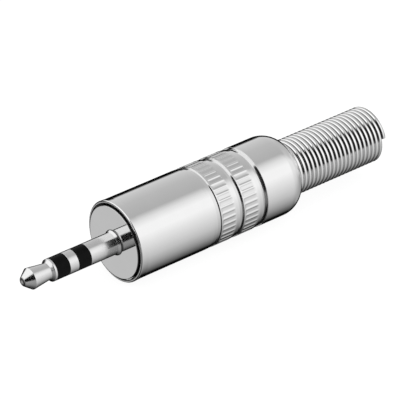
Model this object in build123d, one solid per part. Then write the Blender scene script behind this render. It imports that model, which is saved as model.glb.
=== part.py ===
"""Stereo jack plug of 2.5 mm with a screw-on shell and a coiled cable guard.

Millimetres. X runs along the plug's axis: the tip points to -X and the cable leaves to +X.
Z is up, and the origin is the centre of the plug body's front face.
"""
import os
from math import acos, atan2, degrees, sin, tan

from build123d import *

# Contact pin: lengths along the axis, from the body's front face out to the tip
pin_r = 1.25
sleeve_len = 3.78
rear_band_len = 1.63
ring_len = 1.11
front_band_len = 1.66
collar_len = 0.26
shoulder_len = 0.24
back_taper_len = 2.19
cone_len = 1.00

# Tip: radii and the rounding of its edges
tip_peak_r = 1.195
tip_waist_r = 0.915
nose_r = 0.45
nose_round = 0.20
peak_round = 0.05
waist_round = 0.05
shoulder_round = 0.12

# Concentric stack inside the pin, from the centre outwards
rod_r = 0.40
tip_sheath_wall = 0.20
ring_tube_wall = 0.20
ring_sheath_wall = 0.18
stack_gap = 0.01

# Bead at the root of the sleeve, seated in the body's face, and the flats on the shank behind it
bead_len = 0.33
bead_step = 0.04
bead_round = 0.12
bead_seat_depth = 0.10
shank_flat_count = 24

# Plug body: flange, undercut and threaded barrel
flange_t = 1.10
flange_chamfer = 0.05
thread_step = 0.15
undercut_depth = 0.50
undercut_len = 0.50
thread_len = 4.20
thread_chamfer = 0.30

# Ends of the sleeve, ring and tip, swaged over their lugs
lip_t = 0.20
sleeve_lip_w = 0.35
ring_lip_w = 0.33
rod_head_w = 0.35
rod_head_len = 0.32
rod_head_round = 0.18

# Insulating washers between the lugs
sleeve_washer_t = 0.80
ring_washer_t = 0.70
ring_washer_gap = 0.30

# Solder lugs of the ring and the tip
lug_t = 0.35
lug_bend_r = 0.20
ring_lug_r = 1.80
ring_lug_tube_gap = 0.75
ring_lug_w = 1.90
ring_lug_tail = 4.20
tip_lug_r = 1.45
tip_lug_tube_gap = 0.85
tip_lug_w = 1.60
tip_lug_tail = 3.60
solder_hole_r = 0.45
solder_hole_inset = 1.10

# Sleeve lug with its arm and cable clamp
clamp_sheet_t = 0.40
sleeve_lug_r = 2.50
arm_tube_gap = 0.40
arm_len = 7.20
arm_w = 2.00
arm_hole_r = 0.50
arm_hole_at = 4.50
clamp_len = 4.30
clamp_trough_r = 2.50
clamp_top = 1.30
finger_slope = 0.90
finger_notch = 0.90

# Shell: outside
shell_r = 4.54
face_proud = 0.20
rim_proud = 0.06
rim_len = 0.90
rim_round = 0.15
mouth_chamfer = 0.05
groove_1_at = 10.87
first_band_len = 3.06
second_band_len = 3.22
groove_1_w = 0.07
groove_1_depth = 0.10
groove_2_w = 0.10
groove_2_depth = 0.16
groove_3_w = 0.14
groove_3_depth = 0.22
rolled_edge_len = 0.95
dome_start = 20.84
dome_round = 2.50

# Shell: knurled bands, straight ridges between milled valleys
knurl_count = 42
knurl_depth = 0.10
knurl_ridge_w = 0.22
knurl_band_len = 1.95
knurl_inset = 0.06

# Shell: inside
mouth_wall = 0.29
mouth_gap = 0.15
thread_gap = 0.05
seat_gap = 0.05
body_tube_gap = 0.30
shell_wall = 0.69
rear_wall_setback = 0.07
guard_gap = 0.09

# Insulating tube inside the shell
tube_wall = 0.30
tube_gap = 0.05
tube_guard_gap = 0.30

# Cable guard: a close-wound coil of round wire with two wider turns behind the shell's end
guard_end = 35.44
wire_d = 0.55
guard_turns = 26
turn_relief = 0.12
turn_crest = 0.22
flare_gap = 0.30
flare_step = 0.305
flare_turns = 2

# Places along the axis that follow from the sizes above
sleeve_front = -sleeve_len
rear_band_front = sleeve_front - rear_band_len
ring_front = rear_band_front - ring_len
front_band_front = ring_front - front_band_len
collar_front = front_band_front - collar_len
waist_x = collar_front - shoulder_len
peak_x = waist_x - back_taper_len
nose_x = peak_x - cone_len
thread_start = flange_t + undercut_len
body_rear = thread_start + thread_len
sleeve_lug_rear = body_rear + clamp_sheet_t
sleeve_end = sleeve_lug_rear + lip_t
sleeve_washer_rear = sleeve_lug_rear + sleeve_washer_t
ring_lug_rear = sleeve_washer_rear + lug_t
ring_end = ring_lug_rear + lip_t
ring_washer_rear = ring_lug_rear + ring_washer_t
tip_lug_rear = ring_washer_rear + lug_t
clamp_start = sleeve_lug_rear + arm_len
groove_2_at = groove_1_at + first_band_len
groove_3_at = groove_2_at + second_band_len
rear_wall_x = dome_start - rear_wall_setback
grooves = [
    (groove_1_at, groove_1_w, groove_1_depth),
    (groove_2_at, groove_2_w, groove_2_depth),
    (groove_3_at, groove_3_w, groove_3_depth),
]

# Radii of the stack that follow from its walls
tip_sheath_bore = rod_r + stack_gap
tip_sheath_r = tip_sheath_bore + tip_sheath_wall
ring_bore = tip_sheath_r + stack_gap
ring_tube_r = ring_bore + ring_tube_wall
ring_sheath_bore = ring_tube_r + stack_gap
ring_sheath_r = ring_sheath_bore + ring_sheath_wall
sleeve_bore = ring_sheath_r + stack_gap
body_bore = pin_r + stack_gap
bead_r = pin_r + bead_round + bead_step
bead_seat_r = bead_r + stack_gap
sleeve_lip_r = pin_r + sleeve_lip_w
ring_lip_r = ring_tube_r + ring_lip_w
rod_head_r = rod_r + rod_head_w

# Shell, body and guard: radii that follow from the shell's outside, from the mouth inwards
rim_r = shell_r + rim_proud
mouth_r = shell_r - mouth_wall
flange_r = mouth_r - mouth_gap
thread_r = flange_r - thread_step
undercut_r = thread_r - undercut_depth
shell_thread_r = thread_r + thread_gap
tube_bore_r = shell_r - shell_wall
tube_r = tube_bore_r - tube_gap
tube_inner_r = tube_r - tube_wall
arm_reach = tube_inner_r - arm_tube_gap
ring_lug_reach = tube_inner_r - ring_lug_tube_gap
tip_lug_reach = tube_inner_r - tip_lug_tube_gap
sleeve_washer_r = arm_reach - clamp_sheet_t - lug_bend_r
ring_washer_r = ring_lug_reach - lug_t - lug_bend_r - ring_washer_gap
flare_r = tube_bore_r - flare_gap
guard_hole_r = flare_r - flare_step
guard_r = guard_hole_r - guard_gap

# Places inside the shell that follow from the pieces it holds
shell_seat_x = flange_t + seat_gap
tube_front = body_rear + body_tube_gap
flare_rear = rear_wall_x - seat_gap
turn_pitch = (guard_end - flare_rear) / guard_turns
flare_front = flare_rear - flare_turns * turn_pitch
tube_rear = flare_front - tube_guard_gap


def turned(corners, rounds=0):
    """Solid turned about the X axis from a closed outline of (x, radius) corners."""
    return revolve(make_face(FilletPolyline(*corners, radius=rounds, close=True)), Axis.X)


def bushing(front, rear, outer, bore):
    """Plain ring or tube between two places along the axis."""
    return turned([(front, bore), (front, outer), (rear, outer), (rear, bore)])


def make_tip_contact():
    """Tip, collar and centre rod in one turned piece, its end headed over the tip lug."""
    head_rear = tip_lug_rear + rod_head_len
    corners = [
        (nose_x, 0), (nose_x, nose_r), (peak_x, tip_peak_r), (waist_x, tip_waist_r),
        (collar_front, pin_r), (front_band_front, pin_r), (front_band_front, rod_r),
        (tip_lug_rear, rod_r), (tip_lug_rear, rod_head_r), (head_rear, rod_head_r), (head_rear, 0),
    ]
    rounds = [0, nose_round, peak_round, waist_round, shoulder_round, 0, 0, 0, 0, rod_head_round, 0]
    return turned(corners, rounds)


def make_stack_piece(front, band_rear, shank_r, bore, shank_end):
    """Band flush with the pin and a thinner shank that runs back inside the next piece."""
    return turned([
        (front, bore), (front, pin_r), (band_rear, pin_r), (band_rear, shank_r),
        (shank_end, shank_r), (shank_end, bore),
    ])


def make_ring_contact():
    """Ring band with its tube, swaged outwards over the ring lug."""
    shank = make_stack_piece(ring_front, rear_band_front, ring_tube_r, ring_bore, ring_end)
    return shank + bushing(ring_lug_rear, ring_end, ring_lip_r, ring_bore)


def make_sleeve_contact():
    """Sleeve with the bead that seats in the body, a shank with pressed flats, and a swaged lip."""
    corners = [
        (sleeve_front, sleeve_bore), (sleeve_front, pin_r), (-bead_len, pin_r), (-bead_len, bead_r),
        (bead_seat_depth, bead_r), (bead_seat_depth, sleeve_bore),
    ]
    sleeve = turned(corners, [0, 0, 0, bead_round, 0, 0])
    section = RegularPolygon(pin_r, shank_flat_count) - Circle(sleeve_bore)
    sleeve += extrude(Plane.YZ.offset(bead_seat_depth) * section, sleeve_lug_rear - bead_seat_depth)
    return sleeve + bushing(sleeve_lug_rear, sleeve_end, sleeve_lip_r, sleeve_bore)


def make_plug_body():
    """Flange with a seat for the sleeve's bead, undercut, and the barrel that carries the thread."""
    return turned([
        (bead_seat_depth, body_bore), (bead_seat_depth, bead_seat_r), (0, bead_seat_r),
        (0, flange_r - flange_chamfer), (flange_chamfer, flange_r),
        (flange_t, flange_r), (flange_t, undercut_r), (thread_start, undercut_r),
        (thread_start, thread_r), (body_rear - thread_chamfer, thread_r),
        (body_rear, thread_r - thread_chamfer), (body_rear, body_bore),
    ])


def make_washer(front, rear, outer, bore, lip_r):
    """Insulating washer, recessed in front for the swaged lip that it covers."""
    recess_r = lip_r + stack_gap
    recess_rear = front + lip_t + stack_gap
    return turned([
        (front, recess_r), (front, outer), (rear, outer), (rear, bore), (recess_rear, bore),
        (recess_rear, recess_r),
    ])


def make_lug(front, sheet, plate_r, bore, reach, width, tail, turn):
    """Round plate with a strip bent rearwards at its edge, turned about the axis by an angle."""
    rear = front + sheet
    end = rear + tail
    strip = FilletPolyline(
        (front, 0), (front, reach), (end, reach), (end, reach - sheet), (rear, reach - sheet), (rear, 0),
        radius=[0, lug_bend_r + sheet, 0, 0, lug_bend_r, 0], close=True,
    )
    lug = extrude(Plane.XZ * make_face(strip), width / 2, both=True)
    lug += bushing(front, rear, plate_r, bore)
    lug -= bushing(front - sheet, rear + sheet, bore, 0)
    return Rot(X=turn) * lug


def make_solder_lug(front, plate_r, bore, reach, width, tail, turn):
    """Lug of thin sheet with a rounded tail and a hole for the wire."""
    lug = make_lug(front, lug_t, plate_r, bore, reach, width, tail, 0)
    tail_end = lug.edges().filter_by(Axis.Z).group_by(Axis.X)[-1]
    lug = fillet(tail_end, 0.4 * width)
    hole_x = front + lug_t + tail - solder_hole_inset
    lug -= Pos(hole_x, 0, reach) * Cylinder(solder_hole_r, 4 * lug_t)
    return Rot(X=turn) * lug


def make_clamp():
    """Trough with two pairs of fingers, open upwards until they are bent over the cable."""
    inner_r = clamp_trough_r - clamp_sheet_t
    centre_z = clamp_trough_r - arm_reach
    end = clamp_start + clamp_len
    outside = Pos(0, centre_z) * Circle(clamp_trough_r) + Pos(0, clamp_top / 2 + centre_z / 2) * Rectangle(
        2 * clamp_trough_r, clamp_top - centre_z
    )
    inside = Pos(0, centre_z) * Circle(inner_r) + Pos(0, centre_z + clamp_trough_r) * Rectangle(
        2 * inner_r, 2 * clamp_trough_r
    )
    section = outside - inside - Pos(0, clamp_top + clamp_trough_r) * Rectangle(
        4 * clamp_trough_r, 2 * clamp_trough_r
    )
    trough = extrude(Plane.YZ.offset(clamp_start) * section, clamp_len)
    middle = (clamp_start + end) / 2
    low = centre_z - clamp_trough_r / 2
    side_view = Polyline(
        (clamp_start, -arm_reach), (clamp_start, low), (clamp_start + finger_slope, clamp_top),
        (middle - finger_notch / 2, clamp_top), (middle - finger_notch / 2, low),
        (middle + finger_notch / 2, low), (middle + finger_notch / 2, clamp_top),
        (end - finger_slope, clamp_top), (end, low), (end, -arm_reach), close=True,
    )
    return trough & extrude(Plane.XZ * make_face(side_view), 2 * clamp_trough_r, both=True)


def make_sleeve_lug():
    """Sleeve terminal: plate under the sleeve's lip, arm along the bottom, and cable clamp."""
    tail = clamp_start + clamp_len - sleeve_lug_rear
    hole_r = pin_r + stack_gap
    lug = make_lug(body_rear, clamp_sheet_t, sleeve_lug_r, hole_r, arm_reach, arm_w, tail, 180)
    lug += make_clamp()
    lug -= Pos(sleeve_lug_rear + arm_hole_at, 0, -arm_reach) * Cylinder(arm_hole_r, 4 * clamp_sheet_t)
    return lug


def groove_corners(at, width, depth):
    """Outline of one groove: rolled-down edge before it, and a square step up after it."""
    floor = shell_r - depth
    step = at + width
    return [(at - rolled_edge_len / 2, shell_r), (at, floor), (step, floor), (step, shell_r)]


def make_shell():
    """Screw-on shell: rolled rim, two knurled bands between grooves, and a domed end."""
    dome_centre = shell_r - dome_round
    dome_sweep = degrees(acos((guard_hole_r - dome_centre) / dome_round))
    dome = CenterArc((dome_start, dome_centre), dome_round, 90 - dome_sweep, dome_sweep)
    corners = [
        dome @ 0, (rear_wall_x, guard_hole_r), (rear_wall_x, tube_bore_r), (tube_front, tube_bore_r),
        (tube_front, shell_thread_r), (shell_seat_x, shell_thread_r), (shell_seat_x, mouth_r),
        (face_proud + mouth_chamfer, mouth_r), (face_proud, mouth_r + mouth_chamfer),
        (face_proud, rim_r), (face_proud + rim_len, shell_r),
    ]
    rounds = [0, 0, 0, 0, 0, 0, 0, 0, rim_round, 0]
    for at, width, depth in grooves:
        rolled_turn = atan2(depth, rolled_edge_len / 2)
        corners += groove_corners(at, width, depth)
        rounds += [0.5 * rolled_edge_len / tan(rolled_turn / 2), 0, 0, 0]
    outline = FilletPolyline(*corners, dome @ 1, radius=rounds)
    shell = revolve(make_face([*outline.edges(), dome]), Axis.X)
    return shell - make_knurl_valleys()


def make_knurl_valleys():
    """Milled valleys of both bands, evenly spaced round the shell."""
    spacing = 360 / knurl_count
    ridge = degrees(knurl_ridge_w / shell_r)
    floor_r = shell_r - knurl_depth
    valley_w = 2 * shell_r * sin(0.5 * (spacing - ridge) / degrees(1))
    valley = Pos(0, 0, floor_r + knurl_depth) * Box(knurl_band_len, valley_w, 2 * knurl_depth)
    valleys = []
    for at, width, _ in grooves[:2]:
        middle = at + width + knurl_inset + knurl_band_len / 2
        for i in range(knurl_count):
            valleys.append(Pos(middle, 0, 0) * Rot(X=i * spacing) * valley)
    return valleys


def coil_corners(front, turns, outer):
    """Outside of a run of turns: each one a crest between two shallow flanks."""
    flank = (turn_pitch - turn_crest) / 2
    corners = [(front, outer - turn_relief)]
    for i in range(turns):
        start = front + i * turn_pitch
        rear = start + turn_pitch
        corners += [(start + flank, outer), (rear - flank, outer), (rear, outer - turn_relief)]
    return corners


def make_spring_guard():
    """Close-wound coil as one sleeve: a raised back for each turn, and a plain bore."""
    bore = guard_r - wire_d
    flare_bore = flare_r - wire_d
    inside = [(guard_end, bore), (flare_rear, bore), (flare_rear, flare_bore), (flare_front, flare_bore)]
    return turned([
        *coil_corners(flare_front, flare_turns, flare_r),
        *coil_corners(flare_rear, guard_turns, guard_r),
        *inside,
    ])


parts = {
    "tip_contact": make_tip_contact(),
    "tip_insulator": make_stack_piece(
        front_band_front, ring_front, tip_sheath_r, tip_sheath_bore, ring_end
    ),
    "ring_contact": make_ring_contact(),
    "ring_insulator": make_stack_piece(
        rear_band_front, sleeve_front, ring_sheath_r, ring_sheath_bore, sleeve_end
    ),
    "sleeve_contact": make_sleeve_contact(),
    "plug_body": make_plug_body(),
    "sleeve_lug": make_sleeve_lug(),
    "sleeve_washer": make_washer(
        sleeve_lug_rear, sleeve_washer_rear, sleeve_washer_r, ring_tube_r + stack_gap, sleeve_lip_r
    ),
    "ring_lug": make_solder_lug(
        sleeve_washer_rear, ring_lug_r, ring_tube_r + stack_gap, ring_lug_reach, ring_lug_w,
        ring_lug_tail, 90
    ),
    "ring_washer": make_washer(
        ring_lug_rear, ring_washer_rear, ring_washer_r, rod_r + stack_gap, ring_lip_r
    ),
    "tip_lug": make_solder_lug(
        ring_washer_rear, tip_lug_r, rod_r + stack_gap, tip_lug_reach, tip_lug_w, tip_lug_tail, -90
    ),
    "shell": make_shell(),
    "insulating_tube": bushing(tube_front, tube_rear, tube_r, tube_r - tube_wall),
    "spring_guard": make_spring_guard(),
}

os.makedirs("parts", exist_ok=True)
for name, solid in parts.items():
    export_step(solid, f"parts/{name}.step")
    print(name, round(solid.volume, 3), "mm3")
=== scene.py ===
# %% [markdown]
# This lesson dresses a stereo jack plug in Blender. The plug's solids were made in CAD and packed as a
# fixed frame, so every size and place is settled before we start. We could model a new plug by eye,
# but then its pieces would no longer fit. So we keep the frame as it is and add what the eye sees:
# finer surfaces, real finishes and studio light.

# %% Load the frame
import math

import bmesh
import bpy
import numpy as np
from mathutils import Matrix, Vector


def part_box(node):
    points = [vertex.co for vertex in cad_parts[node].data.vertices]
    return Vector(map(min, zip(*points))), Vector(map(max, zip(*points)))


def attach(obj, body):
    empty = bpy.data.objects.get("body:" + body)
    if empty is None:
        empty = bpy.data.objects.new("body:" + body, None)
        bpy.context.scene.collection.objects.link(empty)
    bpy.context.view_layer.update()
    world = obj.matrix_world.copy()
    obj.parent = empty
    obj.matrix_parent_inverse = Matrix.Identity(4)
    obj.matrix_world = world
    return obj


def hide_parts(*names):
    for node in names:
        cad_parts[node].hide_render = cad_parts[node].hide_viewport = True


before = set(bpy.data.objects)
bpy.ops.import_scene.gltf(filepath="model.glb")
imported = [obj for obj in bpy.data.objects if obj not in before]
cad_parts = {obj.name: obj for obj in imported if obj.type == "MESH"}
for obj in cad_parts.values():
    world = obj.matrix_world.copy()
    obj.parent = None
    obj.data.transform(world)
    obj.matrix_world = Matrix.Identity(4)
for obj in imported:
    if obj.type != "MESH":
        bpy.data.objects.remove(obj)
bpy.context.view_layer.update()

mm = 0.001

# %% [markdown]
# All new surfaces are worked out in millimetres along the plug's axis, X, with the tip towards -X. The
# CAD nodes tell where each piece starts, where it ends and how far it reaches from the axis, so we read
# those numbers from the frame and never type them twice.

# %% Measure the turned pieces
def reach(node):
    """First place, last place and outer radius of a turned CAD node, in millimetres."""
    low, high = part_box(node)
    return low.x / mm, high.x / mm, high.z / mm


nose_x, rod_end, pin_r = reach("tip_contact")
front_band_x, ring_end, _ = reach("tip_insulator")
ring_x = reach("ring_contact")[0]
rear_band_x = reach("ring_insulator")[0]
sleeve_x, sleeve_end, sleeve_lip_r = reach("sleeve_contact")
face_x, body_rear, flange_r = reach("plug_body")
mouth_x, shell_end, rim_r = reach("shell")
coil_front, coil_end, flare_r = reach("spring_guard")
print("pin radius", round(pin_r, 3), "flange", round(flange_r, 3), "rim", round(rim_r, 3))
print("shell ends at", round(shell_end, 2), "and the coil at", round(coil_end, 2))

# %% [markdown]
# The camera stands where the photographer's stood: in front, above and well back, so that the plug
# runs away from us to the right. A long lens keeps its sides nearly parallel. The place and the lens
# were fitted to the plug's outline, and the camera has no roll.

# %% Place the camera
photo_width = 400
focal_length_px = 3190.8
sensor_mm = 36.0
camera_place = Vector((-169.07, -223.03, 180.99))
azimuth = math.radians(-39.01)
elevation = math.radians(32.14)
backwards = Vector((
    math.sin(azimuth) * math.cos(elevation),
    -math.cos(azimuth) * math.cos(elevation),
    math.sin(elevation),
))
camera = bpy.data.objects.new("camera", bpy.data.cameras.new("camera"))
camera.data.sensor_width = sensor_mm
camera.data.lens = sensor_mm * focal_length_px / photo_width
camera.data.clip_start = 0.01
camera.data.clip_end = 10
camera.location = camera_place * mm
camera.rotation_mode = "QUATERNION"
camera.rotation_quaternion = (-backwards).to_track_quat("-Z", "Y")
bpy.context.collection.objects.link(camera)
bpy.context.scene.camera = camera
print("lens", round(camera.data.lens, 1), "mm")

# %% [markdown]
# A turned part is a line carried round an axis, and a coil is a circle carried along a helix. Both are
# grids of points, so one function can turn any such grid into a mesh. Where points fall together, as
# on the axis or at the seam, they are welded, which closes the surface without special cases.

# %% Make a mesh from a grid of points
weld_distance = 1e-7


def surface(name, points, smooth_below=32):
    """Mesh of a grid of points in millimetres, with rows, columns and (x, y, z).

    A face joins the points (i, j), (i, j+1), (i+1, j+1) and (i+1, j). Edges that turn by less than
    smooth_below degrees are shaded smooth, and the others stay crisp.
    """
    rows, columns = points.shape[:2]
    number = np.arange(rows * columns).reshape(rows, columns)
    faces = np.stack([number[:-1, :-1], number[:-1, 1:], number[1:, 1:], number[1:, :-1]], axis=-1)
    mesh = bpy.data.meshes.new(name)
    mesh.vertices.add(rows * columns)
    mesh.vertices.foreach_set("co", (points * mm).astype(np.float32).ravel())
    mesh.loops.add(faces.size)
    mesh.loops.foreach_set("vertex_index", faces.astype(np.int32).ravel())
    mesh.polygons.add(faces.size // 4)
    mesh.polygons.foreach_set("loop_start", np.arange(0, faces.size, 4, dtype=np.int32))
    mesh.update(calc_edges=True)
    shape = bmesh.new()
    shape.from_mesh(mesh)
    bmesh.ops.remove_doubles(shape, verts=shape.verts, dist=weld_distance)
    shape.to_mesh(mesh)
    shape.free()
    mesh.polygons.foreach_set("use_smooth", np.ones(len(mesh.polygons), bool))
    mesh.set_sharp_from_angle(angle=math.radians(smooth_below))
    edges = np.zeros(len(mesh.loops), np.int32)
    mesh.loops.foreach_get("edge_index", edges)
    open_edges = int((np.bincount(edges, minlength=len(mesh.edges)) != 2).sum())
    piece = bpy.data.objects.new(name, mesh)
    bpy.context.collection.objects.link(piece)
    triangles = len(mesh.loops) - 2 * len(mesh.polygons)
    print(name, "has", triangles, "triangles and", open_edges, "open edges")
    return piece


def around(x, radius, angle):
    """Points (x, radius cos angle, radius sin angle) about the plug's axis, as one grid."""
    x, radius, angle = np.broadcast_arrays(x, radius, angle)
    return np.stack([x, radius * np.cos(angle), radius * np.sin(angle)], axis=-1)


print("two rows of three columns make a grid of", around([[0], [1]], 1, [0, 1, 2]).shape)

# %% [markdown]
# A lathe never leaves a perfectly sharp corner, and the small round there is what catches the light.
# A Bevel modifier could round all corners alike, but on the real plug each one has its own radius. So
# we work out an arc for every corner.

# %% Round a corner
arc_step = math.radians(15)


def rounded(before, corner, after, radius):
    """Arc of a radius that touches both sides of a corner.

    With h as half the angle inside the corner, the arc starts radius / tan h from the corner, and its
    centre lies radius / sin h away along the bisector. Points are spread evenly by spherical steps.
    """
    back = (before - corner) / np.linalg.norm(before - corner)
    ahead = (after - corner) / np.linalg.norm(after - corner)
    half = 0.5 * math.acos(np.clip(back @ ahead, -1, 1))
    centre = corner + (back + ahead) / np.linalg.norm(back + ahead) * radius / math.sin(half)
    first = corner + back * radius / math.tan(half) - centre
    last = corner + ahead * radius / math.tan(half) - centre
    sweep = math.pi - 2 * half
    share = np.linspace(0, 1, max(2, math.ceil(sweep / arc_step)) + 1)[:, None]
    return centre + (np.sin((1 - share) * sweep) * first + np.sin(share * sweep) * last) / math.sin(sweep)


square_corner = rounded(np.array([0, 1]), np.array([0, 0]), np.array([1, 0]), 0.5)
print("a square corner is rounded with", len(square_corner), "points")

# %% [markdown]
# An outline is then a short list of corners, each with its place, its radius from the axis and its
# rounding, and turning it round the axis makes the piece. A smooth face is shaded by the directions at
# its corners, so a long face beside a small round would look bent. A point close to both ends of every
# long straight run keeps its shading flat.

# %% Draw an outline and turn it
support = 0.03
long_run = 0.4
turned_columns = 160


def supported(line):
    """The same line with a point near both ends of each long run."""
    step = np.diff(line, axis=0)
    length = np.linalg.norm(step, axis=1, keepdims=True)
    near = line[:-1] + step * support / np.maximum(length, 1e-9)
    far = line[1:] - step * support / np.maximum(length, 1e-9)
    triples = np.stack([line[:-1], near, far], axis=1)
    keep = np.ones(triples.shape[:2], bool)
    keep[:, 1:] = length > long_run
    return np.vstack([triples[keep], line[-1:]])


def outline(corners):
    """Points of an open line through (x, radius, rounding) corners, with its arcs drawn."""
    places = np.array([corner[:2] for corner in corners], float)
    parts = [places[:1]]
    for i in range(1, len(corners) - 1):
        if corners[i][2] > 0:
            parts.append(rounded(places[i - 1], places[i], places[i + 1], corners[i][2]))
        else:
            parts.append(places[i:i + 1])
    return supported(np.vstack(parts + [places[-1:]]))


def turned(name, line):
    """Solid of revolution of a line of (x, radius) points that ends on the axis or where it began."""
    angle = np.linspace(0, 2 * np.pi, turned_columns + 1)
    return surface(name, around(line[:, :1], line[:, 1:], angle))


print("a run of 1 mm gets", len(outline([(0, 1, 0), (1, 1, 0)])), "points")

# %% [markdown]
# A finish is a tree of nodes, and a tree is easier to read as sums. The nodes could be added and linked
# one by one, but the formula would be lost in the wiring. So one small class wraps a node's output, and
# 1 - mask or marks * 0.1 adds the right Math node by itself.

# %% Let sums add Math nodes
class Signal:
    """Output of a node in a finish. Sums with numbers or other signals add Math nodes."""

    def __init__(self, finish, socket):
        self.finish = finish
        self.socket = socket

    def output(self, key):
        """Another output of the same node."""
        return Signal(self.finish, self.socket.node.outputs[key])

    def math(self, operation, first, second):
        """Math node on two values. Its result is this class again."""
        return self.finish.node("ShaderNodeMath", {"operation": operation}, {0: first, 1: second})

    def __add__(self, other):
        return self.math("ADD", self, other)

    def __radd__(self, other):
        return self.math("ADD", other, self)

    def __sub__(self, other):
        return self.math("SUBTRACT", self, other)

    def __rsub__(self, other):
        return self.math("SUBTRACT", other, self)

    def __mul__(self, other):
        return self.math("MULTIPLY", self, other)

    def __rmul__(self, other):
        return self.math("MULTIPLY", other, self)

    def __pow__(self, power):
        return self.math("POWER", self, power)


print("sums on a", Signal.__name__, "add Math nodes")

# %% [markdown]
# Every other kind of node comes from one method of the material that is being made. It takes the node's
# type, its settings and what goes into its sockets. Colours go through Mix nodes, because a Math node
# would turn them grey.

# %% Add any other node
mix_a, mix_b, mix_result = 6, 7, 2


class Finish:
    """A material under construction."""

    def __init__(self, name):
        self.material = bpy.data.materials.new(name)
        self.material.use_nodes = True
        self.tree = self.material.node_tree
        self.shader = self.tree.nodes["Principled BSDF"]

    def node(self, kind, settings, sockets, output=0):
        """Adds a node: its settings first, then a value or a signal for each socket."""
        node = self.tree.nodes.new(kind)
        for key, value in settings.items():
            setattr(node, key, value)
        for key, value in sockets.items():
            self.fill(node.inputs[key], value)
        return Signal(self, node.outputs[output])

    def fill(self, socket, value):
        """Links a signal to a socket, or sets a plain value on it."""
        if isinstance(value, Signal):
            self.tree.links.new(value.socket, socket)
        else:
            socket.default_value = value

    def mix(self, share, first, second):
        """Colour that is the first where the share is 0 and the second where it is 1."""
        sockets = {0: share, mix_a: first, mix_b: second}
        return self.node("ShaderNodeMix", {"data_type": "RGBA"}, sockets, mix_result)

    def noise(self, vector, scale, detail, roughness=0.5):
        """Noise between 0 and 1, about 0.5, at a vector."""
        sockets = {"Vector": vector, "Scale": scale, "Detail": detail, "Roughness": roughness}
        return self.node("ShaderNodeTexNoise", {}, sockets)

    def bump(self, height, depth):
        """Normal of a surface that rises by a depth in millimetres where the height is 1."""
        sockets = {"Strength": 1.0, "Distance": depth * mm, "Height": height}
        return self.node("ShaderNodeBump", {}, sockets)

    def plug_space(self):
        """Object coordinates in millimetres: the vector and its x, y and z."""
        place = self.node("ShaderNodeTexCoord", {}, {}, "Object")
        scaled = self.node("ShaderNodeVectorMath", {"operation": "SCALE"}, {0: place, "Scale": 1 / mm})
        split = self.node("ShaderNodeSeparateXYZ", {}, {0: scaled})
        return scaled, *(split.output(axis) for axis in "XYZ")

    def shade(self, **sockets):
        """Sets the sockets of the Principled shader, named with _ for a space."""
        for key, value in sockets.items():
            self.fill(self.shader.inputs[key.replace("_", " ")], value)
        print("finish", self.material.name, "has", len(self.tree.nodes), "nodes")
        return self.material


def grey(level, warmth=0.0):
    """Grey as a colour, with a little red added and blue taken away by warmth."""
    return (level + warmth, level, level - warmth, 1)


print("a mid grey is", grey(0.5))

# %% [markdown]
# Nearly all of this plug is nickel plate on turned brass. A cutting tool leaves fine rings, and they
# follow the distance from the axis and the place along it. So the marks are a noise that is stretched
# round the axis: it reads x and the radius, and hardly the angle. Fingers leave wide, faint smudges.
# An attribute on the points says where the metal is duller, darker or pitted: real wear in a few places,
# painted shade in hollows and gaps.

# %% Finish of the turned nickel
angle_drift = 0.25
smudge_scale = 0.45
smudge_tones = (0.97, 1.02)
swing = 0.5
pit_scale = 5.0
# near-black that is real wear in a few places and painted shade in hollows and gaps
grime_and_painted_shade = grey(0.02)


def turned_nickel(name, level, roughness, marks_per_mm, mark_depth, duller, darker, pitted=0.0):
    """Nickel plate with turning marks and faint smudges, and duller, darker or pitted where the attribute
    is set.

    The roughness swings about its base by a share of it, with the marks and with the smudges, and
    grows by duller where the attribute is set. Darker mixes in a near-black that is real wear in a few
    places and painted shade in others. The height is the marks, and the pits times pitted where set.
    """
    finish = Finish(name)
    place, x, y, z = finish.plug_space()
    radius = (y * y + z * z) ** 0.5
    rings = finish.node("ShaderNodeCombineXYZ", {}, {
        "X": x * marks_per_mm, "Y": radius * marks_per_mm, "Z": (y + z) * angle_drift,
    })
    marks = finish.noise(rings, 1.0, 3.0)
    smudges = finish.noise(place, smudge_scale, 2.0)
    pits = finish.noise(place, pit_scale, 2.0)
    # this attribute carries wear and painted shade, and darkens the colour by darker
    wear_and_shade = finish.node("ShaderNodeAttribute", {"attribute_name": "wear_and_shade"}, {}, "Fac")
    plain = finish.mix(smudges, *(grey(level * tone) for tone in smudge_tones))
    uneven = roughness + (marks - 0.5) * swing * roughness + (smudges - 0.5) * swing * roughness
    return finish.shade(
        Base_Color=finish.mix(wear_and_shade * darker, plain, grime_and_painted_shade),
        Metallic=1.0,
        Roughness=uneven + wear_and_shade * duller,
        Normal=finish.bump(marks + wear_and_shade * pits * pitted, mark_depth),
    )


pin_finish = turned_nickel("polished_pin", 0.74, 0.20, 9.0, 0.0006, duller=0.2, darker=0.75, pitted=15.0)
body_finish = turned_nickel("polished_body", 0.79, 0.04, 7.0, 0.0003, duller=0.4, darker=0.97)
shell_finish = turned_nickel("turned_shell", 0.80, 0.10, 6.0, 0.0008, duller=0.5, darker=0.97)

# %% [markdown]
# Some places are darker. The spot where the pin was parted from its bar is rough and worn, and a band at
# the seam by the bead is darker. The flange's front edge, the knurl's valleys, the grooves and the gaps
# between the coil's turns get painted shade. They could be painted on by hand. We write each as a rule
# on the points of the mesh instead, and store it as an attribute, which a material reads at any place.

# %% Mark worn and shaded places
hair = 0.01


def points_of(piece):
    """Points of a piece's mesh as rows of x, y and z, in millimetres."""
    flat = np.zeros(len(piece.data.vertices) * 3, np.float32)
    piece.data.vertices.foreach_get("co", flat)
    return flat.reshape(-1, 3) / mm


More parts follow.
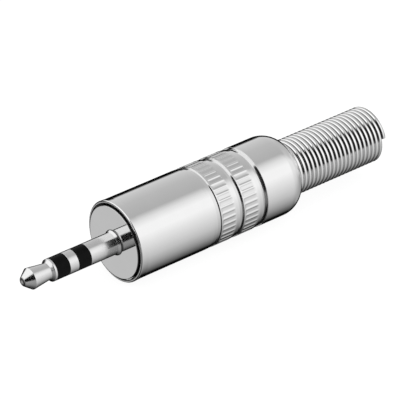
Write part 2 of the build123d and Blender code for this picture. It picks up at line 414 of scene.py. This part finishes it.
def store(piece, name, values):
    """Keeps one value for each point of a piece's mesh as an attribute."""
    attribute = piece.data.attributes.new(name, "FLOAT", "POINT")
    attribute.data.foreach_set("value", values.astype(np.float32))
    print(name, "is above 0 at", int((values > 0).sum()), "points of", piece.name)


def mark_wear_and_shade(piece, wear_and_shade_at):
    """Fills a piece's attribute of wear and painted shade by a function of x, the radius and the angle of
    its points.
    """
    x, y, z = points_of(piece).T
    store(piece, "wear_and_shade", wear_and_shade_at(x, np.hypot(y, z), np.arctan2(z, y)))


def smoothstep(low, high, value):
    """Rises from 0 at low to 1 at high as 3 t squared less 2 t cubed."""
    t = np.clip((value - low) / (high - low), 0, 1)
    return t * t * (3 - 2 * t)


def facing(angle):
    """Angle in degrees from level on the photographed side: 90 on top and -90 underneath."""
    return (360 - np.degrees(angle)) % 360 - 180


print("the top faces", facing(np.pi / 2), "and the near side", facing(np.pi))

# %% [markdown]
# Each piece that we make stands in for a CAD node. It takes that node's body, so that it moves with it,
# and the CAD node is hidden.

# %% Dress a piece
def dress(piece, body, slot, finish, *nodes):
    """Gives a piece its finish and its body, and hides the CAD nodes that it stands for. The slot is not
    used.
    """
    piece.data.materials.append(finish)
    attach(piece, body)
    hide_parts(*nodes)
    print(piece.name, "rides on", body, "in place of", *nodes)


# %% [markdown]
# The contact pin is a stack of turned pieces, one inside the next. The tip and its centre rod are one
# piece of brass, headed over at the far end. We draw its outline once, from the nose to the rod's end,
# and turn it. The neck behind the cone is where a socket's spring catches the plug. The pin was parted
# from its bar at the nose, which left a rough, dark spot.

# %% Turn the tip contact
cone_len = 1.00
taper_len = 2.19
shoulder_len = 0.24
nose_r = 0.45
nose_round = 0.32
peak_r = 1.195
neck_r = 0.915
bend_round = 0.05
collar_round = 0.12
rod_r = 0.40
rod_head_r = 0.75
rod_head_len = 0.32
rod_head_round = 0.18
parted_len = (0.12, 0.02)
peak_x = nose_x + cone_len
neck_x = peak_x + taper_len
collar_x = neck_x + shoulder_len
rod_head_x = rod_end - rod_head_len
edge = 0.03

tip = turned("tip_contact_turned", outline([
    (nose_x, 0, 0), (nose_x, nose_r, nose_round), (peak_x, peak_r, bend_round),
    (neck_x, neck_r, bend_round), (collar_x, pin_r, collar_round), (front_band_x, pin_r, edge),
    (front_band_x, rod_r, 0), (rod_head_x, rod_r, 0), (rod_head_x, rod_head_r, edge),
    (rod_end, rod_head_r, rod_head_round), (rod_end, 0, 0),
]))
dress(tip, "contacts", "pin_nickel", pin_finish, "tip_contact")
parted = [nose_x + length for length in parted_len]
mark_wear_and_shade(tip, lambda x, radius, angle: smoothstep(*parted, x) * (radius > hair))

# %% [markdown]
# The two black bands are moulded plastic, flush with the metal, and each one goes on as a thin sheath
# inside the next contact. The plastic is glossy but not perfectly even, so its gloss and a very shallow
# bump follow a fine noise.

# %% Finish of the moulded bands
def moulded_black(name):
    """Black plastic with an uneven gloss and a shallow moulded grain."""
    finish = Finish(name)
    place = finish.plug_space()[0]
    grain = finish.noise(place, 9.0, 4.0, 0.6)
    cloud = finish.noise(place, 1.6, 2.0)
    return finish.shade(
        Base_Color=finish.mix(cloud, grey(0.002), grey(0.006)),
        Roughness=0.22 + cloud * 0.2,
        Normal=finish.bump(grain, 0.006),
        Specular_IOR_Level=0.05,
    )


band_finish = moulded_black("moulded_black")

# %% [markdown]
# Ring, bands and sleeve share one section: a band flush with the pin's outside, then a thinner shank
# that runs back inside the next piece. A function of the places and of the shank's radii makes the
# bands. The ring's tube ends in a swaged lip behind its solder lug, so it has its own outline.

# %% Turn the bands and the ring
tip_sheath = (0.41, 0.61)
ring_tube = (0.62, 0.82)
ring_sheath = (0.83, 1.01)
lip_len = 0.20
lip_round = 0.06
ring_lip_r = 1.15
ring_lip_x = ring_end - lip_len


def band_outline(front, rear, sheath, sheath_end):
    """Band between two places with a thinner sheath behind it, round the bore and back."""
    bore, sheath_r = sheath
    return outline([
        (front, bore, 0), (front, pin_r, edge), (rear, pin_r, edge), (rear, sheath_r, 0),
        (sheath_end, sheath_r, 0), (sheath_end, bore, 0), (front, bore, 0),
    ])


tube_bore, tube_r = ring_tube
front_band = turned("tip_insulator_moulded", band_outline(front_band_x, ring_x, tip_sheath, ring_end))
rear_band = turned("ring_insulator_moulded", band_outline(rear_band_x, sleeve_x, ring_sheath, sleeve_end))
ring = turned("ring_contact_turned", outline([
    (ring_x, tube_bore, 0), (ring_x, pin_r, edge), (rear_band_x, pin_r, edge), (rear_band_x, tube_r, 0),
    (ring_lip_x, tube_r, 0), (ring_lip_x, ring_lip_r, edge), (ring_end, ring_lip_r, lip_round),
    (ring_end, tube_bore, 0), (ring_x, tube_bore, 0),
]))
dress(front_band, "contacts", "black_insulator", band_finish, "tip_insulator")
dress(rear_band, "contacts", "black_insulator", band_finish, "ring_insulator")
dress(ring, "contacts", "pin_nickel", pin_finish, "ring_contact")

# %% [markdown]
# The sleeve is the long contact with a small bead at its root, where it seats in the body. Behind the
# face its shank has pressed flats that keep it from turning. A Boolean cut could make them. A formula
# is cleaner: the flats make the radius a function of the angle, and the distance to the nearest flat
# is the inner radius divided by the cosine of the angle from that flat's middle.

# %% Turn the sleeve and press its flats
sleeve_bore = 1.02
bead_len = 0.33
bead_r = 1.41
bead_crest = 0.10
bead_round = 0.04
bead_seat = 0.10
flat_count = 24
sleeve_columns = 8 * flat_count
sleeve_lip_x = sleeve_end - lip_len

angle = np.linspace(0, 2 * np.pi, sleeve_columns + 1)
flat_angle = 2 * np.pi / flat_count
across_flats = np.cos(flat_angle / 2) / np.cos((angle % flat_angle) - flat_angle / 2)
shank_start = outline([
    (sleeve_x, sleeve_bore, 0), (sleeve_x, pin_r, edge), (-bead_len, pin_r, edge),
    (-bead_crest, bead_r, bead_round), (bead_seat, bead_r, 0), (bead_seat, pin_r, 0),
])
shank = np.array([(bead_seat, pin_r), (sleeve_lip_x, pin_r)])
shank_end = outline([
    (sleeve_lip_x, pin_r, 0), (sleeve_lip_x, sleeve_lip_r, edge), (sleeve_end, sleeve_lip_r, lip_round),
    (sleeve_end, sleeve_bore, 0), (sleeve_x, sleeve_bore, 0),
])
sleeve = surface("sleeve_contact_turned", np.concatenate([
    around(shank_start[:, :1], shank_start[:, 1:], angle),
    around(shank[:, :1], shank[:, 1:] * across_flats, angle),
    around(shank_end[:, :1], shank_end[:, 1:], angle),
]))
dress(sleeve, "contacts", "pin_nickel", pin_finish, "sleeve_contact")
mark_wear_and_shade(sleeve, lambda x, radius, angle: (np.abs(x) < bead_crest) * (radius > pin_r - hair))

# %% [markdown]
# The plug body carries the thread that the shell screws onto. A Screw modifier could wind it, but a
# formula is exact: the radius depends only on how far a point is along its own turn, which is x divided
# by the pitch less the angle as a share of a turn. The rows of the grid climb with the thread, so crest,
# flank and root stay clean lines, and rows that would pass an end are held there and weld away.

# %% Cut a thread
pitch = 0.75
thread_height = 0.40
thread_flat = 0.11


def thread_rows(front, rear, angle):
    """Places of rows that climb with a right-handed thread, held between two ends.

    A row's place is the pitch times the sum of its turn, its stop within the turn and the angle as a
    share of a turn.
    """
    stops = np.array([thread_flat, 0.5 - thread_flat, 0.5 + thread_flat, 1 - thread_flat])
    turns = np.arange(-1, math.ceil((rear - front) / pitch) + 1)
    rows = (turns[:, None] + stops).reshape(-1, 1)
    start = math.floor(front / pitch)
    return np.clip((start + rows + angle / (2 * np.pi)) * pitch, front, rear)


def thread_depth(x, angle):
    """Depth below the crest: 0 on the crest, 1 in the root, straight on the flanks between."""
    turn = (x / pitch - angle / (2 * np.pi)) % 1
    return np.clip((0.5 - np.abs(turn - 0.5) - thread_flat) / (0.5 - 2 * thread_flat), 0, 1)


print("thread", thread_height, "mm high with a pitch of", pitch, "mm")

# %% [markdown]
# The body's face is the round plate that surrounds the pin. Behind it come a flange, which the shell
# closes against, an undercut where the threading tool ran out, and the thread with a chamfer at both
# ends. The flange's front edge is dull and painted dark as the shade of the narrow gap under the shell's
# rim, and it shows as a fine dark line round the face.

# %% Turn the plug body
body_columns = 192
body_bore = 1.26
body_bore_round = 0.05
bead_seat_r = 1.42
face_round = 0.02
flange_len = 1.10
flange_chamfer = 0.05
flange_round = 0.05
dull_edge = 0.18
undercut_r = 3.45
undercut_round = 0.12
thread_x = 1.60
crest_r = 3.95
thread_chamfer = 0.35

angle = np.linspace(0, 2 * np.pi, body_columns + 1)
body_front = outline([
    (bead_seat, body_bore, 0), (bead_seat, bead_seat_r, 0), (face_x, bead_seat_r, face_round),
    (face_x, flange_r - flange_chamfer, face_round), (flange_chamfer, flange_r, face_round),
    (dull_edge, flange_r, 0), (2 * dull_edge, flange_r, 0), (flange_len, flange_r, flange_round),
    (flange_len, undercut_r, undercut_round), (thread_x, undercut_r, 0),
])
body_back = outline([
    (body_rear, undercut_r, 0), (body_rear, body_bore, body_bore_round), (bead_seat, body_bore, 0),
])
x = thread_rows(thread_x, body_rear, angle)
chamfer_slope = (crest_r - undercut_r) / thread_chamfer
crest_limit = undercut_r + np.minimum(x - thread_x, body_rear - x) * chamfer_slope
thread_r = np.minimum(crest_r - thread_height * thread_depth(x, angle), crest_limit)
body = surface("plug_body_turned", np.concatenate([
    around(body_front[:, :1], body_front[:, 1:], angle),
    around(x, thread_r, angle),
    around(body_back[:, :1], body_back[:, 1:], angle),
]))
dress(body, "contacts", "body_nickel", body_finish, "plug_body")
# painted shade on the flange's front edge, where it sits in the gap under the rim
mark_wear_and_shade(body, lambda x, radius, angle: (radius > flange_r - hair) * (x < 1.5 * dull_edge))

# %% [markdown]
# The shell is one turned case. Three grooves divide its outside: the surface rolls down into each, and
# a square step comes up behind it, which catches a dark line. A groove is given by its place, the width
# of its floor and its depth, and they grow deeper towards the cable.

# %% Roll the grooves
shell_r = 4.54
grooves = ((10.87, 0.07, 0.10), (13.93, 0.10, 0.16), (17.15, 0.14, 0.22))
rolled_len = 0.95
floor_round = 0.015


def groove_corners(at, width, depth):
    """Corners of a groove: the edge rolls down to it, and a square step comes up behind it.

    The rolled radius is half the rolled length divided by the tangent of half the slope's angle.
    """
    slope = math.atan2(depth, rolled_len / 2)
    rolled_r = 0.5 * rolled_len / math.tan(slope / 2)
    floor_r = shell_r - depth
    return [
        (at - rolled_len / 2, shell_r, rolled_r), (at, floor_r, floor_round),
        (at + width, floor_r, floor_round), (at + width, shell_r, edge),
    ]


print("grooves at", *(at for at, width, depth in grooves))

# %% [markdown]
# Behind each of the first two grooves a band is knurled for grip: a roller presses straight valleys and
# leaves round ridges between. Cutting 84 valleys with Booleans would be slow and rough. Here the knurl
# is a field on top of the outline, the share of the depth at any place and angle. The columns stand
# closer together on the flanks of the ridges, so the ridges cost few faces.

# %% Press the knurl
ridge_count = 42
knurl_len = 1.95
knurl_inset = 0.06
knurl_depth = 0.065
knurl_ramp = 0.28
knurl_turn = math.radians(1.3)
ridge_flank = (0.03, 0.30)
knurl_starts = [at + width + knurl_inset for at, width, depth in grooves[:2]]


def ridge_columns(count):
    """Angles of the columns: for each ridge, close steps on both flanks and a wide one over the valley."""
    half = np.array([0, 0.06, 0.12, 0.18, 0.24, 0.32])
    share = np.concatenate([half, [0.5], 1 - half[:0:-1]])
    columns = (np.arange(count)[:, None] + share).ravel() / count
    return np.append(columns, 1.0) * 2 * np.pi


def valley(x, angle):
    """Share of the valley depth: 1 between ridges inside a band, 0 on the ridges and outside.

    It is a soft step of the distance to the nearest ridge, as a share of their spacing, times a soft
    ramp at both ends of the band.
    """
    from_ridge = np.abs(((angle - knurl_turn) * ridge_count / (2 * np.pi) + 0.5) % 1 - 0.5)
    along = 0
    for start in knurl_starts:
        end = start + knurl_len
        along = along + smoothstep(start, start + knurl_ramp, x) * smoothstep(end, end - knurl_ramp, x)
    return smoothstep(*ridge_flank, from_ridge) * along


def knurl_corners(start):
    """Places where the ramps of a band begin, bend and end, on the plain surface."""
    ramp = np.array([0, 0.2, 0.4, 0.6, 0.8, 1]) * knurl_ramp
    end = start + knurl_len
    return [(place, shell_r, 0) for place in (*(start + ramp), *(end - ramp[::-1]))]


print("knurled from", *(round(start, 2) for start in knurl_starts), "over", knurl_len, "mm each")

# %% [markdown]
# The outline of the shell runs from its rolled rim over the grooves and bands, round the domed end and
# into the hole for the cable guard. Inside it comes back along the tube's bore and ends in the thread,
# the same formula as on the body, a little wider. One grid holds it all, so the case has no seam.

# %% Turn the shell
mouth_r = 4.25
mouth_round = 0.04
rim_len = 0.90
rim_round = 0.15
rolled_rim_r = 1.2
seat_x = 1.15
dome_x = 20.84
dome_r = 2.50
dome_rows = 14
hole_r = 3.245
hole_lip = 0.05
rear_wall_x = 20.77
tube_bore_r = 3.85
tube_bore_round = 0.2
tube_x = 6.10
thread_clearance = 0.06
run_out_slope = 2

dome_centre_r = shell_r - dome_r
dome_angle = np.linspace(0, math.acos((hole_r - dome_centre_r) / dome_r), dome_rows)
dome = np.stack([dome_x + dome_r * np.sin(dome_angle), dome_centre_r + dome_r * np.cos(dome_angle)], -1)
shell_front = outline([
    (seat_x, mouth_r, 0), (mouth_x, mouth_r, mouth_round), (mouth_x, rim_r, rim_round),
    (mouth_x + rim_len, shell_r, rolled_rim_r),
    *groove_corners(*grooves[0]), *knurl_corners(knurl_starts[0]),
    *groove_corners(*grooves[1]), *knurl_corners(knurl_starts[1]),
    *groove_corners(*grooves[2]), (dome_x, shell_r, 0),
])
shell_back = outline([
    (*dome[-1], 0), (dome[-1][0] - hole_lip, hole_r, 0), (rear_wall_x, hole_r, hole_lip),
    (rear_wall_x, tube_bore_r, tube_bore_round), (tube_x, tube_bore_r, 0),
])
angle = ridge_columns(ridge_count) + knurl_turn
outer_r = shell_front[:, 1:] - knurl_depth * valley(shell_front[:, :1], angle)
x = thread_rows(seat_x + hair, tube_x - hair, angle)[::-1]
major_r = crest_r + thread_clearance
run_out_r = major_r - np.minimum(x - seat_x, tube_x - x) * run_out_slope
inner_r = np.maximum(major_r - thread_height * thread_depth(x, angle), run_out_r)
shell = surface("shell_turned", np.concatenate([
    around(shell_front[:, :1], outer_r, angle),
    around(dome[1:, :1], dome[1:, 1:], angle),
    around(shell_back[1:, :1], shell_back[1:, 1:], angle),
    around(x, inner_r, angle),
    around(np.array([[seat_x]]), np.array([[mouth_r]]), angle),
]))
dress(shell, "shell", "shell_nickel", shell_finish, "shell")

# %% [markdown]
# The rim's inner edge, the floors of the grooves and, faintly, the knurl's valleys are darker in the photo
# than our light makes them. The shade of a groove's floor also changes round the plug: none on top, full
# towards us and underneath, and lighter between the two, most so in the deeper grooves. A real plug
# isn't darker on one side. We fit the shade to the photo, in place of dark cards that we don't know.

# %% Shade the rim, the grooves and the knurl
face_depth = 0.06
rim_shade = (0.17, 0.10)
valley_shade = 0.1
floor_reach = 0.005
floor_share = (0.3, 0.7)
floor_below = (62, 56)
floor_near = (16, 24)
floor_under = (4, -8)
deep_shade = 0.08
outside_r = crest_r + 0.1


def shell_shade(x, radius, angle):
    """Full on the rim's inner edge, faint in the knurl's valleys and strong on the grooves' floors.

    Just below level, between the near side and the underside, a floor's shade is deep_shade divided
    by its depth. Points inside outside_r have none.
    """
    side = facing(angle)
    full = smoothstep(*floor_near, side) + smoothstep(*floor_under, side)
    floors = 0
    for at, width, depth in grooves:
        low = smoothstep(*(shell_r - share * depth for share in floor_share), radius)
        low = low * (x > at - floor_reach) * (x < at + width + floor_reach)
        partial = deep_shade / depth
        floors = floors + low * (partial + (1 - partial) * full)
    outside = valley_shade * valley(x, angle) + floors * smoothstep(*floor_below, side)
    on_rim = smoothstep(*(mouth_r + width for width in rim_shade), radius)
    return np.where(x < mouth_x + face_depth, on_rim, outside * (radius > outside_r))


# this paints shade into the shell's colour on the rim's inner edge, the grooves' floors and the knurl's
# valleys
mark_wear_and_shade(shell, shell_shade)

# %% [markdown]
# The cable guard is one length of round wire wound close. Two wider turns hold it behind the shell's
# end, and its last turn stops in a flat cut on the side that faces us. A curve with a round bevel could
# make it, but then its cut end would stay open. So the wire is a circle carried along a helix whose
# radius shrinks once, over a quarter of a turn, and both ends close in a small burr and a disc.

# %% Wind the cable guard
wire_d = 0.55
wire_r = wire_d / 2
coil_clearance = 0.09
coil_r = hole_r - coil_clearance - wire_r
turn_pitch = 0.56615
cut_angle = math.radians(166)
shrink = (0.95, 1.2)
rings_per_turn = 72
section_points = 18
burr = 0.03

turn_count = (coil_end - coil_front - wire_d) / turn_pitch
turn = np.linspace(0, turn_count, int(turn_count * rings_per_turn))
wind = cut_angle + 2 * np.pi * (turn - turn_count)
radial = np.stack([np.zeros_like(wind), np.cos(wind), np.sin(wind)], axis=-1)
flared_r = flare_r - wire_r
centre = (flared_r + (coil_r - flared_r) * smoothstep(*shrink, turn))[:, None] * radial
centre[:, 0] = coil_front + wire_r + turn * turn_pitch
tangent = np.gradient(centre, axis=0)
tangent /= np.linalg.norm(tangent, axis=1, keepdims=True)
outward = radial - (radial * tangent).sum(1, keepdims=True) * tangent
outward /= np.linalg.norm(outward, axis=1, keepdims=True)
sideways = np.cross(tangent, outward)


def wire_rings(centre, outward, sideways, radius):
    """Circles about the centres, each radius cos angle outward plus radius sin angle sideways."""
    angle = np.linspace(0, 2 * np.pi, section_points + 1)[None, :, None]
    rims = np.cos(angle) * outward[:, None] + np.sin(angle) * sideways[:, None]
    return centre[:, None] + radius[:, None, None] * rims


ring_number = np.concatenate([[0], np.arange(len(turn)), [len(turn) - 1]])
ring_r = np.full(len(ring_number), wire_r)
ring_r[[1, -2]] = wire_r - burr
ring_r[[0, -1]] = 0
guard = surface("spring_guard_wound", wire_rings(
    centre[ring_number], outward[ring_number], sideways[ring_number], ring_r,
), smooth_below=50)
guard_finish = turned_nickel("drawn_wire", 0.88, 0.06, 5.0, 0.0004, duller=0.2, darker=0.97)
dress(guard, "guard", "spring_nickel", guard_finish, "spring_guard")

# %% [markdown]
# Between the turns of a close coil hardly any light gets in, and one wire shades the next. We darken the
# wire by its distance from the coil's axis. The photo shows the gaps black towards us, greyer above and
# clear underneath, so the rule also asks for the side, and is fitted to that one view. The last turn has
# no neighbour behind it, and its rear edge is shaded as an outline.

# %% Shade the coil
gap_radii = (coil_r + 0.20, coil_r + 0.14)
gap_near = (11, 16)
gap_above = (56, 66)
gap_under_shade = 0.10
gap_above_shade = 0.75
flank = (-0.20, -0.30)
flank_below = (34, 24)
rear_edge = (0.34, 0.24)
rear_above = (50, 80)
rear_shades = (0.30, 0.55)


def between(levels, share):
    """The first of two levels where the share is 0, the second where it is 1."""
    first, second = levels
    return first + (second - first) * share


def coil_shade(x, radius, angle):
    """Full in the gaps on the near side, less above, faint below, and partial on the last turn's rear.

    past_middle is how far a point lies behind the nearest wire's middle, as a share of the pitch. It is
    negative towards the shell.
    """
    side = facing(angle)
    turns = (x - coil_end + wire_r) / turn_pitch - (angle - cut_angle) / (2 * np.pi)
    past_middle = (turns + 0.5) % 1 - 0.5
    gap = smoothstep(*gap_radii, radius)
    gap = np.maximum(gap, smoothstep(*flank, past_middle) * smoothstep(*flank_below, side))
    gap = gap * between((gap_under_shade, 1), smoothstep(*gap_near, side))
    gap = gap * between((1, gap_above_shade), smoothstep(*gap_above, side))
    rear = coil_end - turn_pitch * ((cut_angle - angle) % (2 * np.pi)) / (2 * np.pi)
    on_rear = smoothstep(*(rear - width for width in rear_edge), x)
    return np.maximum(gap, on_rear * between(rear_shades, smoothstep(*rear_above, side)))


# this paints shade into the wire's colour in the gaps and on the last turn's rear edge
mark_wear_and_shade(guard, coil_shade)

# %% [markdown]
# Inside the shell sit the solder lugs, their washers and a plastic tube. Their CAD shapes are right, so
# they stay as they are and only get a finish. The lugs are sheet brass dipped in tin, which sets in
# cloudy patches.

# %% Finish of the tinned lugs
def refinish(material, slot, *nodes):
    """Puts a finish on CAD nodes that stay as they are."""
    for node in nodes:
        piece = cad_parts[node]
        piece.data.materials.clear()
        piece.data.materials.append(material)


def tinned_sheet(name):
    """Tin on brass sheet: cloudy tone and gloss, and a fine rolled grain."""
    finish = Finish(name)
    place = finish.plug_space()[0]
    cloud = finish.noise(place, 1.3, 3.0)
    grain = finish.noise(place, 14.0, 3.0)
    return finish.shade(
        Base_Color=finish.mix(cloud, grey(0.66, 0.03), grey(0.80, 0.02)),
        Metallic=1.0,
        Roughness=0.2 + cloud * 0.25,
        Normal=finish.bump(grain, 0.004),
    )


refinish(tinned_sheet("tinned_sheet"), "lug_tin", "sleeve_lug", "ring_lug", "tip_lug")

# %% [markdown]
# The washers are stamped from brown laminate, paper pressed with resin. Its fibres lie across the axis,
# so the noise is drawn out that way: the smaller the factor on an axis, the longer the streaks.

# %% Finish of the laminate washers
paper_light = (0.50, 0.28, 0.13, 1)
paper_dark = (0.24, 0.11, 0.045, 1)


def paper_laminate(name):
    """Brown laminate: fibres drawn out across the axis, with a shallow bump."""
    finish = Finish(name)
    place, x, y, z = finish.plug_space()
    drawn = finish.node("ShaderNodeCombineXYZ", {}, {"X": x * 9.0, "Y": y * 1.2, "Z": z * 5.0})
    fibres = finish.noise(drawn, 1.4, 5.0, 0.65)
    return finish.shade(
        Base_Color=finish.mix(fibres, paper_dark, paper_light),
        Roughness=0.45 + fibres * 0.25,
        Normal=finish.bump(fibres, 0.01),
    )


refinish(paper_laminate("paper_laminate"), "washer_laminate", "sleeve_washer", "ring_washer")

# %% [markdown]
# The tube that keeps the wiring off the shell is thin milky plastic. It was drawn through a die, which
# left faint lines along it, and the light comes through unevenly. A low alpha does for that here,
# because the tube only shows when the shell is off.

# %% Finish of the insulating tube
def milky_tube(name):
    """Thin plastic that lets light through unevenly, with drawn lines along the tube."""
    finish = Finish(name)
    place, x, y, z = finish.plug_space()
    drawn = finish.node("ShaderNodeCombineXYZ", {}, {"X": x * 0.2, "Y": y * 3.0, "Z": z * 3.0})
    lines = finish.noise(drawn, 1.5, 3.0)
    return finish.shade(
        Base_Color=grey(0.86),
        Roughness=0.18 + lines * 0.15,
        Alpha=0.45 + lines * 0.2,
        Normal=finish.bump(lines, 0.006),
    )


refinish(milky_tube("milky_tube"), "tube_plastic", "insulating_tube")

# %% [markdown]
# Polished metal has no look of its own: it shows what stands round it. A photographer hangs a tent of
# white cloth and dark cards round such a plug, and we describe one as a formula of direction: how far
# it points along the plug's axis, and its angle round that axis, 0 towards us on the horizon and 90
# straight up. Lamps and panels could be placed instead, but a formula can be tuned line by line.

# %% Describe the light tent
far_level, far_pole = 0.85, (0.95, 0.995)
tip_pole_place = (-0.945, -0.975)
near_blend, far_blend = 0.07, 0.06
card_angle, card_along, card_level = 219, -0.51, 0.63
card_sides, card_ends = (12, 8), (0.17, 0.12)


def tent_light(towards):
    """Brightness of the tent in a direction.

    The tent has zones along the axis: the tip's pole, the tip's side, the cable's side, the far side
    and the far pole. Each is a curve of the angle, but the far pole is one level. Soft steps lead from
    zone to zone. The two borders beside the cable's side are curves of the angle too, and the poles
    begin at fixed places. A grey card hangs behind the plug.
    """
    along = towards[:, 0]
    round_axis = np.degrees(np.arctan2(towards[:, 2], -towards[:, 1]))

    def curve(*stops):
        """Value by angle, straight between stops and the same a full turn on."""
        place, level = np.array(stops).T
        return np.interp(round_axis, place, level, period=360)

    cable_side = curve(
        (-103, 0.003), (-97, 0.07), (-88, 0.14), (-80, 0.21), (-66, 0.36), (-36, 0.66), (4, 0.95),
        (26, 1.13), (48, 1.13), (66, 0.91), (82, 0.53), (127, 0.60), (164, 0.73), (171, 0.80),
        (179, 0.003), (219, 0.003),
    )
    tip_side = curve(
        (-106, 0.003), (-90, 0.06), (-70, 0.17), (-50, 0.32), (0, 0.46), (6, 0.003), (72, 0.003),
        (80, 1.22), (168, 1.22), (176, 0.003), (219, 0.003),
    )
    far_side = curve(
        (-128, 0.36), (-100, 0.38), (-67, 0.44), (-40, 0.58), (-10, 0.80), (20, 0.97), (60, 0.97),
        (84, 0.66), (110, 0.60), (170, 0.57), (200, 0.50),
    )
    tip_pole = curve(
        (-120, 0.10), (-60, 0.35), (5, 0.38), (25, 1.15), (170, 1.15), (190, 0.30), (219, 0.10),
    )
    border = curve((-3, 0.0), (3, -0.19), (72, -0.19), (78, 0.0))
    far_border = curve((-104, 0.72), (-90, 0.68), (20, 0.75), (172, 0.79), (184, 0.97), (236, 0.97))
    light = between((tip_side, cable_side), smoothstep(-near_blend, near_blend, along - border))
    light = between((light, far_side), smoothstep(-far_blend, far_blend, along - far_border))
    light = between((light, far_level), smoothstep(*far_pole, along))
    light = between((light, tip_pole), smoothstep(*tip_pole_place, along))
    beside_card = np.abs((round_axis - card_angle + 180) % 360 - 180)
    card = smoothstep(*card_sides, beside_card) * smoothstep(*card_ends, np.abs(along - card_along))
    return between((light, card_level), card)


print("straight up the tent has a level of", tent_light(np.array([[0.0, 0.0, 1.0]])).round(2)[0])

# %% [markdown]
# The tent itself is a large sphere that glows by that formula, stored at its points. Only reflections
# can see it, so it neither lights the floor nor shows behind the plug.

# %% Hang the light tent
tent_r = 600
tent_rows, tent_columns = 180, 360

polar = np.linspace(np.pi, 0, tent_rows)[:, None]
angle = np.linspace(0, 2 * np.pi, tent_columns + 1)
tent = surface("light_tent", around(tent_r * np.cos(polar), tent_r * np.sin(polar), angle))
store(tent, "glow", tent_light(points_of(tent) / tent_r))

tent_cloth = Finish("tent_cloth")
glow = tent_cloth.node("ShaderNodeAttribute", {"attribute_name": "glow"}, {}, "Color")
tent.data.materials.append(tent_cloth.shade(
    Base_Color=grey(0.0), Specular_IOR_Level=0.0, Emission_Color=glow, Emission_Strength=1.0,
))
tent_cloth.material.cycles.emission_sampling = "NONE"
tent.visible_camera = False
tent.visible_diffuse = False
tent.visible_transmission = False
tent.visible_shadow = False

# %% [markdown]
# The plug lies on a plain white floor. The floor and the pale world light it softly, while the tent
# alone feeds the reflections, so neither spoils the other. The Standard view keeps greys as bright as
# we made them.

# %% Lay the floor
floor_half = 3.0
floor_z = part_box("shell")[0].z
floor_mesh = bpy.data.meshes.new("floor")
floor_mesh.from_pydata(
    [(-floor_half, -floor_half, floor_z), (floor_half, -floor_half, floor_z),
     (floor_half, floor_half, floor_z), (-floor_half, floor_half, floor_z)],
    [], [(0, 1, 2, 3)],
)
floor = bpy.data.objects.new("floor", floor_mesh)
bpy.context.collection.objects.link(floor)
paper = Finish("floor_paper")
floor_mesh.materials.append(paper.shade(
    Base_Color=grey(0.16), Roughness=0.9, Specular_IOR_Level=0.0,
    Emission_Color=grey(0.9), Emission_Strength=1.0,
))
floor.visible_glossy = False
print("floor at", round(floor_z / mm, 3), "mm")

# %% [markdown]
# A wide, weak lamp high up gives the plug its faint shadow. The world and the lamp are hidden from
# reflections, as the floor is.

# %% Light the room
world = bpy.data.worlds.new("pale_room")
bpy.context.scene.world = world
world.use_nodes = True
world.node_tree.nodes["Background"].inputs["Color"].default_value = grey(1.0)
world.node_tree.nodes["Background"].inputs["Strength"].default_value = 1.0
world.cycles_visibility.glossy = False

soft_lamp = bpy.data.lights.new("soft_lamp", "SUN")
soft_lamp.energy = 0.35
soft_lamp.angle = math.radians(50)
lamp = bpy.data.objects.new("soft_lamp", soft_lamp)
lamp.rotation_euler = (math.radians(35), math.radians(-20), 0)
lamp.visible_glossy = False
bpy.context.collection.objects.link(lamp)
bpy.context.scene.view_settings.view_transform = "Standard"
print("soft lamp with a strength of", round(soft_lamp.energy, 2))
